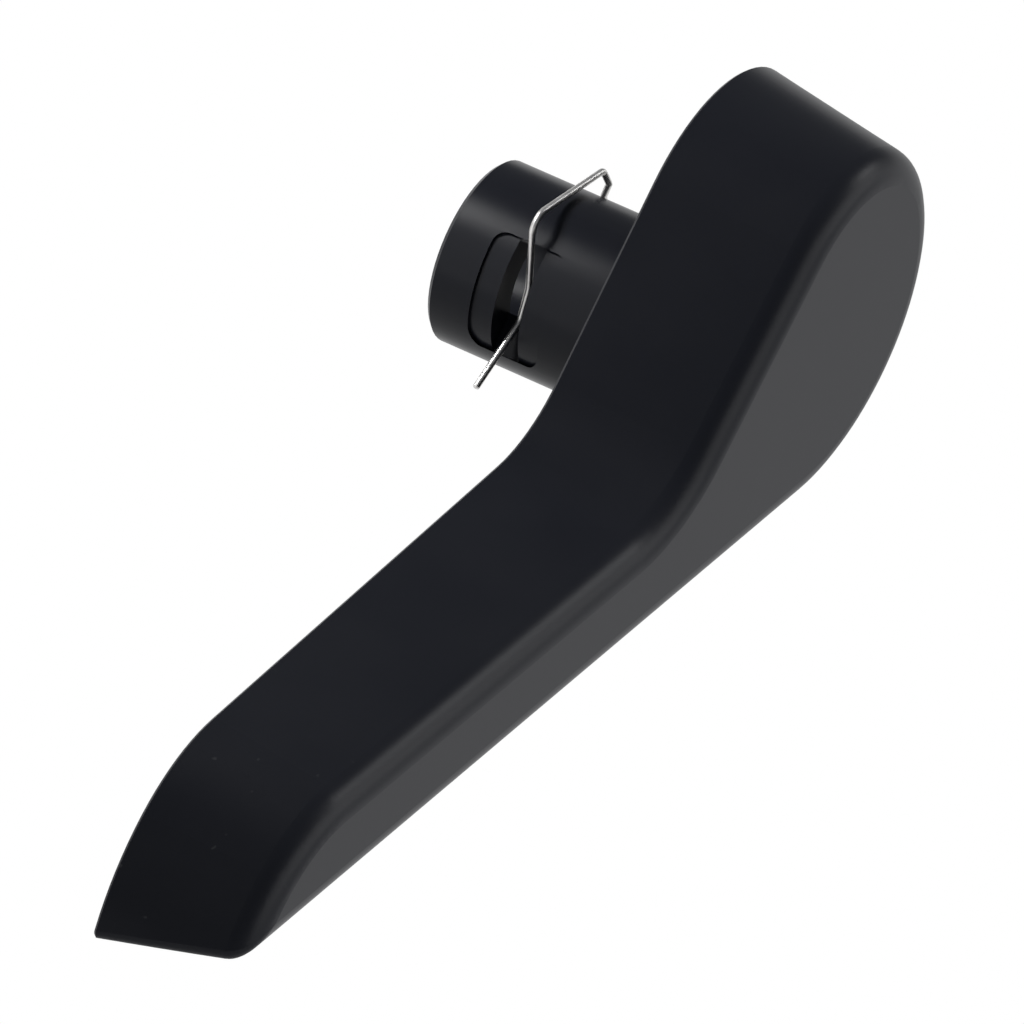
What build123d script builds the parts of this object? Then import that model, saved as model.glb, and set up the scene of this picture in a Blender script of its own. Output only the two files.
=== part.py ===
from build123d import *
from math import acos, cos, degrees, radians, sin
import os

# Frame: origin on the pivot axis at the mouth of the hub, +Y out of the mouth toward the seat,
# +Z square to the straight lower edge, the tip of the handle toward -X. Millimetres.

# Outline of the handle at its open rim
hub_to_bottom = 21.8       # pivot axis to the straight lower edge
heel_setback = 3.5         # pivot axis to where the heel leaves the lower edge
heel_radius = 29.0         # lower, larger arc of the round head
heel_turn = 117.0          # degrees that the heel arc turns
crown_radius = 21.8        # upper, smaller arc of the round head
neck_slope = 46.6          # steepness of the flank between head and bar, in degrees
neck_radius = 17.8         # hollow arc that leads the flank into the bar
bar_height = 21.2          # lower edge to the top of the bar, at the neck
bar_length = 67.8          # near-straight top of the bar
bar_fall = 0.6             # degrees by which that top falls toward the tip
nose_radius = 23.5         # arc that turns down from the bar
tip_height = 14.5          # lower edge to where the nose arc meets the tip arc
tip_radius = 30.4          # flatter arc that runs down to the pointed tip
tip_corner = 1.2           # rounding of the pointed corner itself

# Shell of the handle
shell_depth = 22.8         # open rim to the outer face, on the pivot axis
face_fall = 1.5            # degrees by which the outer face slopes to a thinner tip
draft_angle = 8.8          # lean of the side walls
edge_radius = 4.0          # rounding between side walls and outer face
wall = 2.5
rim_break = 0.35           # broken outer edge of the rim
rib_thickness = 1.6
rib_setback = 2.0          # rim to the top of the ribs
cross_rib_pitch = 13.5
cross_ribs = 8
spoke_ribs = 7             # ribs that stand off the hub like spokes, the first square to the flank
spoke_pitch = 37.5         # degrees from one spoke to the next

# Hub and its splined bore
hub_radius = 12.5
hub_reach = 26.1           # mouth of the hub to the open rim
mouth_chamfer = 0.6
spline_count = 24
spline_root_radius = 8.9   # bottom of the grooves
spline_tip_radius = 7.5    # crests of the teeth
crest_share = 0.3          # share of the pitch that a tooth crest takes
root_share = 0.3           # share of the pitch that a groove bottom takes
bore_depth = 24.0
pilot_depth = 3.0          # plain lead-in before the teeth start
pilot_clearance = 0.1      # plain lead-in over the groove bottoms

# Spring wire clip and the windows that it drops through
clip_lean = 52.8           # direction of the clip's open end below the bar, in degrees
clip_depth = 11.5          # mouth of the hub to the plane of the clip
wire_diameter = 0.9
leg_gap = 0.6              # air between the upper legs and the hub
floor_gap = 0.3            # air under the inner bends
shoulder_reach = 4.5       # how far the shoulders stand off the hub
shoulder_angle = 112.5     # where the shoulders stand, from the open end, in degrees
entry_angle = 78.0         # first bend inside the bore
throat_angle = 46.0        # last bend inside the bore
throat_play = 0.3          # inner bends over the crests of the teeth
tail_length = 12.1         # splayed end of the near leg, left long to pull it by
far_tail_length = 7.0      # splayed end of the far leg
tail_splay = 28.0          # degrees that it opens from the middle line
apex_bend = 1.5
shoulder_bend = 2.2
entry_bend = 6.0
throat_bend = 1.5
window_width = 4.0         # along the hub, with the clip in the middle
window_start = 3.6         # from the middle of the hub toward the closed end of the clip
window_lip = 1.4           # hub wall left past the other end of the window
window_corner = 0.5
recess_width = 10.4        # shallow recess round each window, along the hub
recess_depth = 0.45
recess_corner = 1.8

# Planes and places worked out from those sizes
bottom = -hub_to_bottom
rim_plane = Plane(origin=(0, -hub_reach, 0), x_dir=(1, 0, 0), z_dir=(0, -1, 0))
face_y = -hub_reach - shell_depth
face_lean = radians(face_fall)
face_plane = Plane(
    origin=(0, face_y, 0),
    x_dir=(cos(face_lean), -sin(face_lean), 0),
    z_dir=(-sin(face_lean), -cos(face_lean), 0),
)
mouth_plane = Plane(origin=(0, 0, 0), x_dir=(1, 0, 0), z_dir=(0, -1, 0))
blank_depth = 1.4 * shell_depth
run_past = 2 * wall

lean = radians(clip_lean)
along_clip = (-cos(lean), 0, -sin(lean))
across_clip = (-sin(lean), 0, cos(lean))
clip_plane = Plane(origin=(0, -clip_depth, 0), x_dir=along_clip, z_dir=(0, 1, 0))
window_end = hub_radius - window_lip
window_length = window_start + window_end
window_middle = (window_end - window_start) / 2


def polar(radius, angle):
    return (radius * cos(radians(angle)), radius * sin(radians(angle)))


# The drafted block that the handle is shaped from, sharp all round and run past the rim
with BuildPart() as block:
    with BuildSketch(rim_plane.offset(-run_past)) as outline:
        with BuildLine():
            heel = JernArc((heel_setback, bottom), (1, 0), heel_radius, heel_turn)
            crown = JernArc(heel @ 1, heel % 1, crown_radius, 180 + neck_slope - heel_turn)
            neck_drop = neck_radius * (cos(radians(bar_fall)) - cos(radians(neck_slope)))
            flank_drop = (crown @ 1).Y - bottom - bar_height - neck_drop
            flank = PolarLine(crown @ 1, flank_drop / sin(radians(neck_slope)), 180 + neck_slope)
            neck = JernArc(flank @ 1, flank % 1, neck_radius, bar_fall - neck_slope)
            bar = PolarLine(neck @ 1, bar_length, 180 + bar_fall)
            nose_drop = (bar @ 1).Y - bottom - tip_height
            nose_slope = degrees(acos(cos(radians(bar_fall)) - nose_drop / nose_radius))
            nose = JernArc(bar @ 1, bar % 1, nose_radius, nose_slope - bar_fall)
            tip_slope = degrees(acos(cos(radians(nose_slope)) - tip_height / tip_radius))
            tip = JernArc(nose @ 1, nose % 1, tip_radius, tip_slope - nose_slope)
            Line(tip @ 1, heel @ 0)
        make_face()
    extrude(amount=run_past + blank_depth)
    draft(block.faces().filter_by(Axis.Y, reverse=True), rim_plane, draft_angle)
    split(bisect_by=face_plane, keep=Keep.BOTTOM)

# The hollow behind the outer face, with the ribs left standing in it
bar_middle = bottom + bar_height / 2
tip_x = (tip @ 1).X
first_cross_x = (neck @ 1).X + cross_rib_pitch
with BuildPart() as hollow:
    add(block.part)
    offset(amount=-wall)
    with BuildSketch(rim_plane.offset(rib_setback)):
        with Locations((tip_x, bar_middle)):
            Rectangle(-tip_x, rib_thickness, align=(Align.MIN, Align.CENTER))
        for index in range(cross_ribs):
            with Locations((first_cross_x - index * cross_rib_pitch, bar_middle)):
                Rectangle(rib_thickness, 2 * bar_height)
        for index in range(spoke_ribs):
            with Locations(Location((0, 0, 0), 90 + neck_slope - index * spoke_pitch)):
                Rectangle(2 * heel_radius, rib_thickness, align=(Align.MIN, Align.CENTER))
    extrude(amount=blank_depth, mode=Mode.SUBTRACT)

# Tools that shape the hub: the splined bore, the windows of the clip and the recess round each
pilot_radius = spline_root_radius + pilot_clearance
tooth_pitch = 360 / spline_count
crest_half = crest_share * tooth_pitch / 2
root_half = root_share * tooth_pitch / 2
inner_reach = spline_tip_radius + throat_play
throat = polar(inner_reach, throat_angle)
window_floor = throat[1] - wire_diameter / 2 - floor_gap
with BuildPart() as bore:
    with BuildSketch(mouth_plane):
        Circle(pilot_radius)
    extrude(amount=pilot_depth)
    with BuildSketch(mouth_plane.offset(pilot_depth)):
        Circle(spline_tip_radius)
        with PolarLocations(0, spline_count):
            with BuildLine():
                Polyline(
                    (0, 0),
                    polar(spline_tip_radius, crest_half - tooth_pitch / 2),
                    polar(spline_root_radius, -root_half),
                    polar(spline_root_radius, root_half),
                    polar(spline_tip_radius, tooth_pitch / 2 - crest_half),
                    close=True,
                )
            make_face()
    extrude(amount=bore_depth - pilot_depth)

with BuildPart() as windows:
    for side in (1, -1):
        outward = (side * across_clip[0], 0, side * across_clip[2])
        side_plane = Plane(origin=(0, -clip_depth, 0), x_dir=along_clip, z_dir=outward)
        with BuildSketch(side_plane.offset(window_floor)):
            with Locations((window_middle, 0)):
                RectangleRounded(window_length, window_width, window_corner)
        extrude(amount=hub_radius)

with BuildPart() as recesses:
    for side in (1, -1):
        outward = (side * across_clip[0], 0, side * across_clip[2])
        side_plane = Plane(origin=(0, -clip_depth, 0), x_dir=along_clip, z_dir=outward)
        with BuildSketch(side_plane):
            with Locations((window_middle, 0)):
                RectangleRounded(window_length, recess_width, recess_corner)
        extrude(amount=2 * hub_radius)
    with BuildSketch(mouth_plane):
        Circle(hub_radius - recess_depth)
    extrude(amount=hub_reach, mode=Mode.SUBTRACT)

# The handle: moulded shell, ribs and hub in one piece
with BuildPart() as lever:
    add(block.part)
    offset(amount=-tip_corner)
    fillet(lever.faces().sort_by(Axis.Y)[0].edges(), edge_radius - tip_corner)
    offset(amount=tip_corner)
    split(bisect_by=rim_plane, keep=Keep.TOP)
    chamfer(lever.faces().sort_by(Axis.Y)[-1].edges(), rim_break)
    add(hollow.part, mode=Mode.SUBTRACT)
    with BuildSketch(mouth_plane):
        Circle(hub_radius)
    extrude(amount=hub_reach + shell_depth - wall / 2)
    chamfer(lever.faces().sort_by(Axis.Y)[-1].edges(), mouth_chamfer)
    add(bore.part, mode=Mode.SUBTRACT)
    add(recesses.part, mode=Mode.SUBTRACT)
    add(windows.part, mode=Mode.SUBTRACT)
lever.part.label = "lever"

# The clip: one spring wire, bent like a hairpin about its middle line, with one end left longer
leg_offset = hub_radius + leg_gap + wire_diameter / 2
shoulder_radius = hub_radius + shoulder_reach
shoulder = polar(shoulder_radius, shoulder_angle)
leg_normal = shoulder_angle + degrees(acos(leg_offset / shoulder_radius))
apex = (leg_offset / cos(radians(leg_normal)), 0)
entry = polar(inner_reach, entry_angle)
splay = polar(tail_length, tail_splay)
tail = (throat[0] + splay[0], throat[1] + splay[1])
far_splay = polar(far_tail_length, tail_splay)
far_tail = (throat[0] + far_splay[0], -throat[1] - far_splay[1])
leg = [throat, entry, shoulder]
far_leg = [(x, -y) for x, y in reversed(leg)]
bends = [throat_bend, entry_bend, shoulder_bend]
with BuildPart() as retaining_clip:
    with BuildLine(clip_plane) as wire:
        FilletPolyline(tail, *leg, apex, *far_leg, far_tail, radius=[*bends, apex_bend, *reversed(bends)])
    with BuildSketch(Plane(origin=wire.line @ 0, z_dir=wire.line % 0)):
        Circle(wire_diameter / 2)
    sweep()
retaining_clip.part.label = "retaining_clip"

os.makedirs("parts", exist_ok=True)
export_step(lever.part, "parts/lever.step")
export_step(retaining_clip.part, "parts/retaining_clip.step")
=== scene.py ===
from math import cos, pi, radians, sin, tan

import bmesh
import bpy
from mathutils import Matrix, Vector


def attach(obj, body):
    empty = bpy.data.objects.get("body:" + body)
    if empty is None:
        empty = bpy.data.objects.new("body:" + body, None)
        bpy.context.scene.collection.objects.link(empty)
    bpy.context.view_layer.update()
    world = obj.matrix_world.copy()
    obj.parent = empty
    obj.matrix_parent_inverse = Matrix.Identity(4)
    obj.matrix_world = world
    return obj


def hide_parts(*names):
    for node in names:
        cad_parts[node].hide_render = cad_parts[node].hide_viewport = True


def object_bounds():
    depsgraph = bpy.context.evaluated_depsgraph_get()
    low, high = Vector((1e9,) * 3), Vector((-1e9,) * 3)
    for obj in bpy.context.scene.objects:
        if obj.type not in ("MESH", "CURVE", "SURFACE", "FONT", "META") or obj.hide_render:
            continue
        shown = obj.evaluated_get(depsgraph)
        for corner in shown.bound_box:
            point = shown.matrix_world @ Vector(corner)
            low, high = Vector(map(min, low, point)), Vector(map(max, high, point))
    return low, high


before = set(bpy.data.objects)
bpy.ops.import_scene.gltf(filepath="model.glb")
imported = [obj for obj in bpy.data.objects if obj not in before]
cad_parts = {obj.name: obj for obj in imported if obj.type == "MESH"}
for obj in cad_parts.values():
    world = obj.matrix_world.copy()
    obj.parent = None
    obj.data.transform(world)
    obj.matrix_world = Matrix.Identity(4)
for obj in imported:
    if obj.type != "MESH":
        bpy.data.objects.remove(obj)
solid_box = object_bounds()
millimetre = 0.001


# Camera. It stands where the photograph was taken from: beyond the tip, above the lever and a little in front
# of its outer face, with a long lens at about two metres. The directions are those of the object's own frame.
toward_viewer = Vector((-0.73289, -0.36173, 0.57621))
photo_up = Vector((0.44820, 0.38047, 0.80892))
photo_right = photo_up.cross(toward_viewer)
aim_point = Vector((-0.012736, -0.016530, -0.026565))
camera_distance = 2.1090
focal_pixels = 16545
photo_pixels = 1024
sensor_width = 36
far_clip = 50

camera = bpy.data.objects.new("camera", bpy.data.cameras.new("camera"))
camera.data.sensor_width = sensor_width
camera.data.lens = focal_pixels / photo_pixels * sensor_width
camera.data.clip_end = far_clip
camera_axes = Matrix((photo_right, photo_up, toward_viewer)).transposed().to_4x4()
camera.matrix_world = Matrix.Translation(aim_point + camera_distance * toward_viewer) @ camera_axes
bpy.context.scene.collection.objects.link(camera)
bpy.context.scene.camera = camera


# The lever. One injection moulding in black glass-filled nylon, with ribs and the splined hub on its open
# back. It is pushed onto the end of the recliner's shaft. The cavity side of the mould was etched to a fine
# satin grain, while the core side, with the ribs and the hub, was only polished.
class Field:
    """A value that varies over a surface or a curve, held as one output socket of a node tree."""

    def __init__(self, tree, socket=None):
        self.tree = tree
        self.socket = socket

    def node(self, kind, sockets=None, settings=None, output=0):
        """Adds any other node, with its settings and with a number or a field for each socket named."""
        made = self.tree.nodes.new(kind)
        for name, value in (settings or {}).items():
            setattr(made, name, value)
        for name, value in (sockets or {}).items():
            if isinstance(value, Field):
                value.into(made, name)
            else:
                made.inputs[name].default_value = value
        return Field(self.tree, made.outputs[output])

    def output(self, name):
        """Another output of the node that this value comes from."""
        return Field(self.tree, self.socket.node.outputs[name])

    def into(self, node, name):
        """Links this value to a socket of a node."""
        self.tree.links.new(self.socket, node.inputs[name])

    def math(self, operation, first, second=0.0):
        """One step of arithmetic, on fields or numbers."""
        return self.node("ShaderNodeMath", {0: first, 1: second}, {"operation": operation})

    def __add__(self, other):
        return self.math("ADD", self, other)

    __radd__ = __add__

    def __mul__(self, other):
        return self.math("MULTIPLY", self, other)

    __rmul__ = __mul__

    def __sub__(self, other):
        return self.math("SUBTRACT", self, other)

    def __rsub__(self, other):
        return self.math("SUBTRACT", other, self)

    def between(self, low, high):
        """A soft step from 0 at low to 1 at high."""
        step = {"Value": self, "From Min": low, "From Max": high}
        return self.node("ShaderNodeMapRange", step, {"interpolation_type": "SMOOTHSTEP"})

    def tint(self, at_zero, at_one):
        """A colour that goes from one to the other with this value. Each is a field or three numbers."""
        # A Mix node has its two colours in sockets 6 and 7 and gives the mixed one as output 2.
        first, second = (end if isinstance(end, Field) else (*end, 1) for end in (at_zero, at_one))
        colours = {"Factor": self, 6: first, 7: second}
        return self.node("ShaderNodeMix", colours, {"data_type": "RGBA"}, output=2)


def new_material(name):
    """A new material with one Principled shader: the material, a field on its tree, and the shader."""
    material = bpy.data.materials.new(name)
    material.use_nodes = True
    return material, Field(material.node_tree), material.node_tree.nodes["Principled BSDF"]


def object_place(field):
    """Where each point of the surface lies, in the object's own coordinates."""
    return field.node("ShaderNodeTexCoord", output="Object")


def noise(field, place, per_metre, detail):
    """Soft random blotches, about so many of them to the metre."""
    return field.node("ShaderNodeTexNoise", {"Vector": place, "Scale": per_metre, "Detail": detail})


black_nylon = (0.0080, 0.0088, 0.0124)
pale_nylon = (0.0096, 0.0104, 0.0140)
scuffed_nylon = (0.028, 0.029, 0.032)
nylon_specular = 0.12
satin_roughness = 0.34
polished_roughness = 0.27

# Slow streaks of flow, the etched grain, and tiny pale specks where hands have worn the tip
flow_per_metre = 38
flow_band = (0.35, 0.65)
flow_roughness = 0.05
grain_per_metre = 5200
grain_height = 0.004 * millimetre
polished_grain = 0.2
speck_per_metre = 620
speck_band = (0.75, 0.80)
speck_roughness = 0.10
unworn_place = -85 * millimetre
worn_place = -125 * millimetre
rim_place = -26.1 * millimetre
rim_blend = 0.3 * millimetre

moulding, field, skin = new_material("black_moulding")
place = object_place(field)
along_lever = field.node("ShaderNodeSeparateXYZ", {"Vector": place}, output="X")
core_side = along_lever.output("Y").between(rim_place - rim_blend, rim_place)
flow = noise(field, place, flow_per_metre, detail=3.0)
grain = noise(field, place, grain_per_metre, detail=1.0)
specks = noise(field, place, speck_per_metre, detail=1.0).between(*speck_band)
scuff = specks * (1 - along_lever.between(worn_place, unworn_place))

scuff.tint(flow.between(*flow_band).tint(black_nylon, pale_nylon), scuffed_nylon).into(skin, "Base Color")
satin = satin_roughness - (satin_roughness - polished_roughness) * core_side
(satin + flow_roughness * flow + speck_roughness * scuff).into(skin, "Roughness")
relief = grain * (1 - (1 - polished_grain) * core_side)
field.node("ShaderNodeBump", {"Height": relief, "Distance": grain_height}).into(skin, "Normal")
skin.inputs["Specular IOR Level"].default_value = nylon_specular

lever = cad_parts["lever"]
lever.data.materials.clear()
lever.data.materials.append(moulding)


# The retaining clip. A hairpin of bright spring wire, cold bent over pins and cropped at both ends. Its legs
# snap over the hub and drop through its windows into a groove of the shaft. The near leg is left long, to pull
# the clip by, and the closed end is sprung a little out of the clip's plane.
wire_diameter = 0.9 * millimetre
clip_centre = Vector((0, -11.5 * millimetre, 0))
clip_lean = radians(52.8)
toward_open_end = Vector((-cos(clip_lean), 0, -sin(clip_lean)))
toward_near_leg = Vector((-sin(clip_lean), 0, cos(clip_lean)))
toward_mouth = Vector((0, 1, 0))
steps_in_bend = 10
faces_round_wire = 20
sharp_edge = radians(40)
cropped_share = 0.72
crop_length = 0.12 * millimetre

# Each row is a corner of the wire in millimetres: toward the open end, toward the near leg, toward the mouth
# of the hub, and the radius that it is bent to.
wire_corners = [
    (16.1, 10.3, 0.0, 0.0),
    (6.2, 5.5, 0.0, 1.5),
    (1.9, 7.2, 0.0, 5.0),
    (-6.5, 15.7, 0.0, 2.2),
    (-15.6, 0.3, -0.1, 1.1),
    (-14.4, -2.4, -0.5, 1.0),
    (-12.7, -5.2, 0.6, 2.0),
    (-6.5, -15.7, 0.6, 2.2),
    (1.6, -7.6, 0.6, 5.0),
    (5.4, -5.6, 0.6, 1.5),
    (11.6, -8.9, 0.6, 0.0),
]

bright_steel = (0.78, 0.77, 0.75)
dull_steel = (0.66, 0.65, 0.64)
die_lines_per_metre = 900
die_line_band = (0.3, 0.7)
steel_roughness = 0.36
drawn_roughness = 0.08

steel, field, skin = new_material("spring_steel")
drawn = noise(field, object_place(field), die_lines_per_metre, detail=2.0)
drawn.between(*die_line_band).tint(dull_steel, bright_steel).into(skin, "Base Color")
(steel_roughness + drawn_roughness * drawn).into(skin, "Roughness")
skin.inputs["Metallic"].default_value = 1.0

bent_wire = bpy.data.node_groups.new("bent_wire", "GeometryNodeTree")
inputs = {"Route": "Geometry", "Wire Diameter": "Float", "Cropped Share": "Float", "Steel": "Material"}
for name, kind in inputs.items():
    bent_wire.interface.new_socket(name, in_out="INPUT", socket_type="NodeSocket" + kind)
bent_wire.interface.new_socket("Wire", in_out="OUTPUT", socket_type="NodeSocketGeometry")
tree = Field(bent_wire)
route = tree.node("NodeGroupInput", output="Route")
bend = tree.node("GeometryNodeInputRadius")
corners = {"Curve": route, "Count": steps_in_bend, "Radius": bend, "Limit Radius": True}
bent = tree.node("GeometryNodeFilletCurve", corners, {"mode": "POLY"})
bent = tree.node("GeometryNodeSetCurveRadius", {"Curve": bent, "Radius": 1.0})
girth = 1 - tree.node("GeometryNodeCurveEndpointSelection") * (1 - route.output("Cropped Share"))
section = {"Resolution": faces_round_wire, "Radius": 0.5 * route.output("Wire Diameter")}
section = tree.node("GeometryNodeCurvePrimitiveCircle", section)
drawn_out = {"Curve": bent, "Profile Curve": section, "Scale": girth, "Fill Caps": True}
solid = tree.node("GeometryNodeCurveToMesh", drawn_out)
solid = tree.node("GeometryNodeRealizeInstances", {"Geometry": solid})
solid = tree.node("GeometryNodeSetMaterial", {"Geometry": solid, "Material": route.output("Steel")})
solid.into(bent_wire.nodes.new("NodeGroupOutput"), "Wire")

# The route is the corners, with a point put in close to each end, where the cropping starts to thin the wire.
places = [
    clip_centre + millimetre * (open_end * toward_open_end + near * toward_near_leg + mouth * toward_mouth)
    for open_end, near, mouth, radius in wire_corners
]
radii = [radius * millimetre for open_end, near, mouth, radius in wire_corners]
for end, neighbour, slot in ((0, 1, 1), (-1, -2, -1)):
    inward = (places[neighbour] - places[end]).normalized() * crop_length
    places.insert(slot, places[end] + inward)
    radii.insert(slot, 0.0)
line = bpy.data.curves.new("clip_route", "CURVE")
line.dimensions = "3D"
spline = line.splines.new("POLY")
spline.points.add(len(places) - 1)
for point, corner, radius in zip(spline.points, places, radii):
    point.co = (*corner, 1)
    point.radius = radius
pattern = bpy.data.objects.new("clip_route", line)
bpy.context.scene.collection.objects.link(pattern)
modifier = pattern.modifiers.new("bent_wire", "NODES")
modifier.node_group = bent_wire
given = {"Wire Diameter": wire_diameter, "Cropped Share": cropped_share, "Steel": steel}
for socket in bent_wire.interface.items_tree:
    if socket.name in given:
        modifier[socket.identifier] = given[socket.name]
depsgraph = bpy.context.evaluated_depsgraph_get()
wire_mesh = bpy.data.meshes.new_from_object(pattern.evaluated_get(depsgraph), depsgraph=depsgraph)
bpy.data.objects.remove(pattern)
wire_mesh.shade_smooth()
wire_mesh.set_sharp_from_angle(angle=sharp_edge)
clip = bpy.data.objects.new("clip_wire", wire_mesh)
bpy.context.scene.collection.objects.link(clip)
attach(clip, "root")
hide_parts("retaining_clip")


# Studio. A round sheet of white paper that curves up far off into a low backdrop, and a dim even sky. The
# outer face mirrors the paper. Five flat soft lamps make the light streaks on the roundings, the rim and the
# hub, and a sixth lifts the top faces a little.
floor_drop = 0.5
floor_rings = (0.0, 0.6, 1.5, 4.0)
bend_radius = 0.6
bend_steps = 12
backdrop_top = 0.20
around = 96

floor_level = solid_box[0][2] - floor_drop
floor_reach = floor_rings[-1]
profile = [(radius, 0.0) for radius in floor_rings]
for step in range(1, bend_steps + 1):
    turn = step / bend_steps * pi / 2
    profile.append((floor_reach + bend_radius * sin(turn), bend_radius * (1 - cos(turn))))
profile.append((floor_reach + bend_radius, backdrop_top - floor_level))
sheet = bmesh.new()
rings = []
for radius, height in profile:
    ring = []
    for index in range(around if radius > 0 else 1):
        angle = 2 * pi * index / around
        ring.append(sheet.verts.new((radius * cos(angle), radius * sin(angle), floor_level + height)))
    rings.append(ring)
for inner, outer in zip(rings, rings[1:]):
    for index in range(around):
        following = (index + 1) % around
        if len(inner) == 1:
            sheet.faces.new((inner[0], outer[index], outer[following]))
        else:
            sheet.faces.new((inner[index], outer[index], outer[following], inner[following]))
studio_mesh = bpy.data.meshes.new("studio")
sheet.to_mesh(studio_mesh)
sheet.free()
studio_mesh.shade_smooth()
studio = bpy.data.objects.new("studio", studio_mesh)
bpy.context.scene.collection.objects.link(studio)

# The paper shows as plain white to the camera and in reflections, but keeps the object's shadow close to it.
paper_white = (0.90, 0.90, 0.90)
paper_roughness = 0.9
shadow_reach = (0.10, 0.40)
least_glow = 0.45

paper, field, skin = new_material("studio_paper")
skin.inputs["Base Color"].default_value = (*paper_white, 1)
skin.inputs["Roughness"].default_value = paper_roughness
skin.inputs["Specular IOR Level"].default_value = 0.0
across = field.node("ShaderNodeSeparateXYZ", {"Vector": object_place(field)}, output="X")
deep = across.output("Y")
distance = field.math("SQRT", across * across + deep * deep)
whiteness = least_glow + (1 - least_glow) * distance.between(*shadow_reach)
camera_ray = field.node("ShaderNodeLightPath", output="Is Camera Ray")
seen = camera_ray + camera_ray.output("Is Glossy Ray") + camera_ray.output("Is Transmission Ray")
glow = field.node("ShaderNodeEmission", {"Color": (1, 1, 1, 1), "Strength": 1.0})
shown = {0: whiteness * seen, 1: Field(paper.node_tree, skin.outputs[0]), 2: glow}
field.node("ShaderNodeMixShader", shown).into(paper.node_tree.nodes["Material Output"], "Surface")
studio_mesh.materials.append(paper)


def soft_lamp(name, direction, long_way, spread, glare, lamp_distance=2.1):
    """A flat oval lamp that faces the object. The spread is half its width and half its height in degrees, and
    the glare is how many times brighter than white paper it looks."""
    lamp = bpy.data.objects.new(name, bpy.data.lights.new(name, "AREA"))
    away = Vector(direction).normalized()
    upward = away.cross(Vector(long_way)).normalized()
    width, height = (2 * lamp_distance * tan(radians(half)) for half in spread)
    lamp.data.shape = "ELLIPSE"
    lamp.data.size = width
    lamp.data.size_y = height
    lamp.data.energy = glare * pi * pi * width * height / 4
    lamp_axes = Matrix((upward.cross(away), upward, away)).transposed().to_4x4()
    lamp.matrix_world = Matrix.Translation(lamp_distance * away) @ lamp_axes
    lamp.visible_camera = False
    bpy.context.scene.collection.objects.link(lamp)


soft_lamp("rear_lamp", (-0.22, 0.50, 0.84), (0.84, 0, 0.22), (14, 7), 32.0, lamp_distance=0.22)
soft_lamp("side_lamp", (-0.80, 0.44, 0.42), (0.42, 0, 0.80), (30, 9), 2.1)
soft_lamp("front_lamp", (0.26, -0.94, 0.22), (0.96, 0.27, 0), (42, 15), 2.8)
soft_lamp("right_lamp", (0.72, -0.51, 0.47), (0, 1, 0), (10, 10), 7.0)
soft_lamp("fill_lamp", (0.70, 0.30, 0.65), (0, 1, 0), (30, 24), 0.08)
soft_lamp("back_lamp", (0.17, 0.96, 0.08), (0.96, -0.17, 0), (12, 8), 2.5)

sky_colour = (0.93, 0.96, 1.0)
sky_strength = 0.18
world = bpy.data.worlds.new("dim_sky")
world.use_nodes = True
sky = world.node_tree.nodes["Background"]
sky.inputs["Color"].default_value = (*sky_colour, 1)
sky.inputs["Strength"].default_value = sky_strength
bpy.context.scene.world = world
bpy.context.scene.view_settings.view_transform = "Standard"
